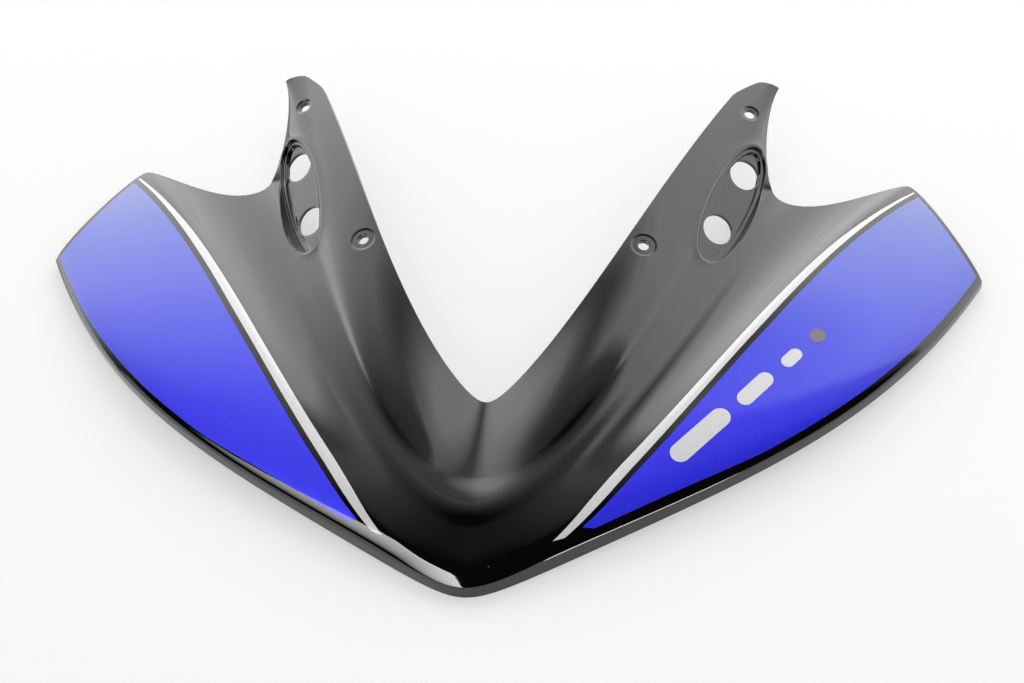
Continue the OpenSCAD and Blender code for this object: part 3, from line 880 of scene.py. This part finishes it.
def bluePaint():
    material, tree, shader = newMaterial("blue_flake_film")
    surface = useGroup(tree, paintSurface, Peel=0.8, Dust=0.5)
    flake = useGroup(tree, metalFlake, Scale=looks["flakeScale"])
    colour = mixColour(tree, flake.outputs["Flake"], looks["blueDeep"], looks["blueLight"])
    # the blue is painted paler and greyer towards the wings' outer ends: a painted sheen that stands in for
    # the reflection washing them out
    sheenShare = rampNode(tree, placeParts(tree)["Y"], *looks["blueSheenFade"])
    colour = mixColour(tree, sheenShare, colour, looks["blueFarSheen"])
    tree.links.new(colour, shader.inputs["Base Color"])
    shader.inputs["Metallic"].default_value = looks["blueMetal"]
    shader.inputs["Roughness"].default_value = 0.42
    tree.links.new(bumpNode(tree, flake.outputs["Height"], 0.35, 0.0002), shader.inputs["Normal"])
    shader.inputs["Coat Weight"].default_value = 1.0
    shader.inputs["Coat Roughness"].default_value = 0.04
    shader.inputs["Coat IOR"].default_value = 1.5
    tree.links.new(bumpNode(tree, surface.outputs["Height"]), shader.inputs["Coat Normal"])
    return material


def paleFilm(name, colour):
    material, tree, shader = newMaterial(name)
    surface = useGroup(tree, paintSurface, Peel=0.6, Dust=0.4)
    grain = noiseNode(tree, objectPlace(tree), 900, 2)
    dark = tuple(k * 0.93 for k in colour[:3]) + (1,)
    shade = mixColour(tree, rampNode(tree, grain, 0.35, 0.65), dark, colour)
    tree.links.new(shade, shader.inputs["Base Color"])
    tree.links.new(mathNode(tree, "ADD", surface.outputs["Roughness"], 0.12), shader.inputs["Roughness"])
    tree.links.new(bumpNode(tree, surface.outputs["Height"], 0.2), shader.inputs["Normal"])
    shader.inputs["Coat Weight"].default_value = 0.5
    shader.inputs["Coat Roughness"].default_value = 0.06
    return material


blackMaterial = blackPaint()
blueMaterial = bluePaint()
paleMaterial = paleFilm("pale_film", looks["pale"])
greyMaterial = paleFilm("grey_film", looks["grey"])


def dress(ob, material):
    ob.data.materials.clear()
    ob.data.materials.append(material)


dress(shellPiece, blackMaterial)
for name, ob in pieces.items():
    dress(ob, blueMaterial if name.startswith("field") else greyMaterial if name == "disc" else paleMaterial)
print("stage: materials")


# Studio: every piece of it is a plain mesh that shines, shades or lies under the object
def studioPiece(name, verts, faces, material, seen=False, lights=False):
    # lights is off for what only shows in reflections
    ob = makeObject(name, verts, faces)
    dress(ob, material)
    ob.visible_camera = seen
    ob.visible_diffuse = lights
    ob.visible_shadow = lights


def flatPlane(x0, y0, x1, y1, z):
    return [(x0, y0, z), (x1, y0, z), (x1, y1, z), (x0, y1, z)], [(0, 1, 2, 3)]


def lampMaterial(name):
    # a material that only shines, with the socket for its strength
    material, tree, shader = newMaterial(name)
    tree.nodes.remove(shader)
    glow = tree.nodes.new("ShaderNodeEmission")
    tree.links.new(glow.outputs[0], tree.nodes["Material Output"].inputs["Surface"])
    return material, tree, glow.inputs["Strength"]


# One big soft ceiling light behind the object, brighter towards the back; its front edge fades in two
# steps, a weak slow one and one that is sharp only on the right, and a dim patch stands over the middle.
# Places in the studio are in metres
ceiling = {
    "plane": (-9.0, 0.1, 9.0, 9.0, 2.2), "power": 2.3,
    "cornerFrom": 0.8, "cornerSlope": 0.12,
    "sharpFrom": 0.72, "sharpWidth": 0.16, "leftWidth": 1.1, "leftFade": (0.3, -0.8), "sharpShare": 0.6,
    "slowFade": (0.1, 1.3), "slowShare": 0.4,
    "backFade": (1.0, 4.0, 0.85, 1.3),
    "patch": (-0.1, 1.4), "patchWide": 0.8, "patchFade": (0.2, 0.8, 0.25, 1.0),
}


def ceilingMaterial():
    k = ceiling
    material, tree, strength = lampMaterial("ceiling_light")

    def calc(operation, a, b=None, clamp=False):
        return mathNode(tree, operation, a, b, clamp)

    parts = placeParts(tree)
    x, y = parts["X"], parts["Y"]
    corner = calc("MULTIPLY", calc("MAXIMUM", calc("SUBTRACT", x, k["cornerFrom"]), 0.0), k["cornerSlope"])
    inward = calc("ADD", y, corner)
    width = calc("ADD", calc("MULTIPLY", rampNode(tree, x, *k["leftFade"]), k["leftWidth"]), k["sharpWidth"])
    sharp = calc("DIVIDE", calc("SUBTRACT", inward, k["sharpFrom"]), width, True)
    slow = rampNode(tree, inward, *k["slowFade"])
    soft = calc("ADD", calc("MULTIPLY", sharp, k["sharpShare"]), calc("MULTIPLY", slow, k["slowShare"]))
    soft = calc("MULTIPLY", soft, rampNode(tree, y, *k["backFade"]))
    aside = calc("MULTIPLY", calc("SUBTRACT", x, k["patch"][0]), k["patchWide"])
    ahead = calc("SUBTRACT", y, k["patch"][1])
    away = calc("SQRT", calc("ADD", calc("MULTIPLY", aside, aside), calc("MULTIPLY", ahead, ahead)))
    soft = calc("MULTIPLY", soft, rampNode(tree, away, *k["patchFade"]))
    tree.links.new(calc("MULTIPLY", soft, k["power"]), strength)
    return material


studioPiece("ceiling_light", *flatPlane(*ceiling["plane"]), ceilingMaterial(), lights=True)

# What only shows in reflections: plain walls under the ceiling's edges, a window over the left front,
# a low strip at the right and a dark flag over the front
reflected = {
    "wallPower": 2.7,
    "window": (-2.7, -2.6, -0.5, -0.35, 2.2), "windowPower": 9.5,
    "strip": ((2.2, -3.2, 1.35), (3.1, -2.6, 1.35)), "stripHigh": 0.5,
    "stripPower": 14.0, "stripFade": (3.2, -9),
    "flag": (-4.5, -4.0, 4.5, 0.15, 2.25),
}


def fadingLamp(name, power, nearX, farX):
    # a lamp that fades from nearX to farX
    material, tree, strength = lampMaterial(name)
    tree.links.new(rampNode(tree, placeParts(tree)["X"], nearX, farX, power, 0), strength)
    return material


x0, y0, x1, y1, z = ceiling["plane"]
corners = [(x0, y0), (x0, y1), (x1, y1), (x1, y0)]
wallMaterial, tree, strength = lampMaterial("wall_light")
strength.default_value = reflected["wallPower"]
studioPiece("wall_light", [(x, y, 0) for x, y in corners] + [(x, y, z) for x, y in corners],
            [(0, 1, 5, 4), (1, 2, 6, 5), (2, 3, 7, 6)], wallMaterial)

clothMaterial, tree, shader = newMaterial("dark_cloth")
shader.inputs["Base Color"].default_value = (0.01, 0.01, 0.011, 1)
shader.inputs["Roughness"].default_value = 1
shader.inputs["Specular IOR Level"].default_value = 0
studioPiece("dark_flag", *flatPlane(*reflected["flag"]), clothMaterial)

x0, y0, x1, y1, z = reflected["window"]
windowMaterial = fadingLamp("window_light", reflected["windowPower"], x1, x0)
studioPiece("window_light", *flatPlane(x0, y0, x1, y1, z), windowMaterial)
a, b = reflected["strip"]
up = (0, 0, reflected["stripHigh"])
studioPiece("strip_light", [a, b, np.add(b, up), np.add(a, up)], [(0, 1, 2, 3)],
            fadingLamp("strip_light", reflected["stripPower"], *reflected["stripFade"]))

# The floor and the world are brighter to the camera and in reflections than as light on the object
studio = {
    "floorSize": 7.0, "floor": (0.5, 0.5, 0.497, 1), "floorGlow": 0.5, "skyForDiffuse": 0.46,
    "camera": (0.2820, -1.16504, 1.4537), "cameraTurn": (39.145, 5.664, 6.422), "lens": 123.05,
}


def seenDirectly(tree):
    # 1 for the camera's rays, reflections and refractions
    path = tree.nodes.new("ShaderNodeLightPath")
    seen = mathNode(tree, "MAXIMUM", path.outputs["Is Camera Ray"], path.outputs["Is Glossy Ray"])
    return mathNode(tree, "MAXIMUM", seen, path.outputs["Is Transmission Ray"])


def floorMaterial():
    material, tree, shader = newMaterial("studio_floor")
    pale = studio["floor"]
    dark = tuple(k * 0.985 for k in pale[:3]) + (1,)
    shade = mixColour(tree, noiseNode(tree, objectPlace(tree), 3, 3), dark, pale)
    tree.links.new(shade, shader.inputs["Base Color"])
    shader.inputs["Roughness"].default_value = 0.7
    shader.inputs["Specular IOR Level"].default_value = 0.1
    shader.inputs["Emission Color"].default_value = (1, 1, 1, 1)
    glow = mathNode(tree, "MULTIPLY", seenDirectly(tree), studio["floorGlow"])
    tree.links.new(glow, shader.inputs["Emission Strength"])
    return material


half = studio["floorSize"] / 2
studioPiece("studio_floor", *flatPlane(-half, -half, half, half, 0), floorMaterial(), seen=True, lights=True)

world = bpy.data.worlds.new("studio")
world.use_nodes = True
tree = world.node_tree
background = tree.nodes["Background"]
sky = studio["skyForDiffuse"]
strength = mathNode(tree, "ADD", mathNode(tree, "MULTIPLY", seenDirectly(tree), 1 - sky), sky)
tree.links.new(strength, background.inputs["Strength"])
background.inputs["Color"].default_value = (1, 1, 1, 1)
bpy.context.scene.world = world
bpy.context.scene.view_settings.view_transform = "Standard"

cameraData = bpy.data.cameras.new("camera")
cameraData.lens = studio["lens"]
cameraData.sensor_width = 36
camera = bpy.data.objects.new("camera", cameraData)
bpy.context.scene.collection.objects.link(camera)
turn = Euler([math.radians(angle) for angle in studio["cameraTurn"]])
camera.matrix_world = Matrix.Translation(studio["camera"]) @ turn.to_matrix().to_4x4()
bpy.context.scene.camera = camera
print("stage: studio")
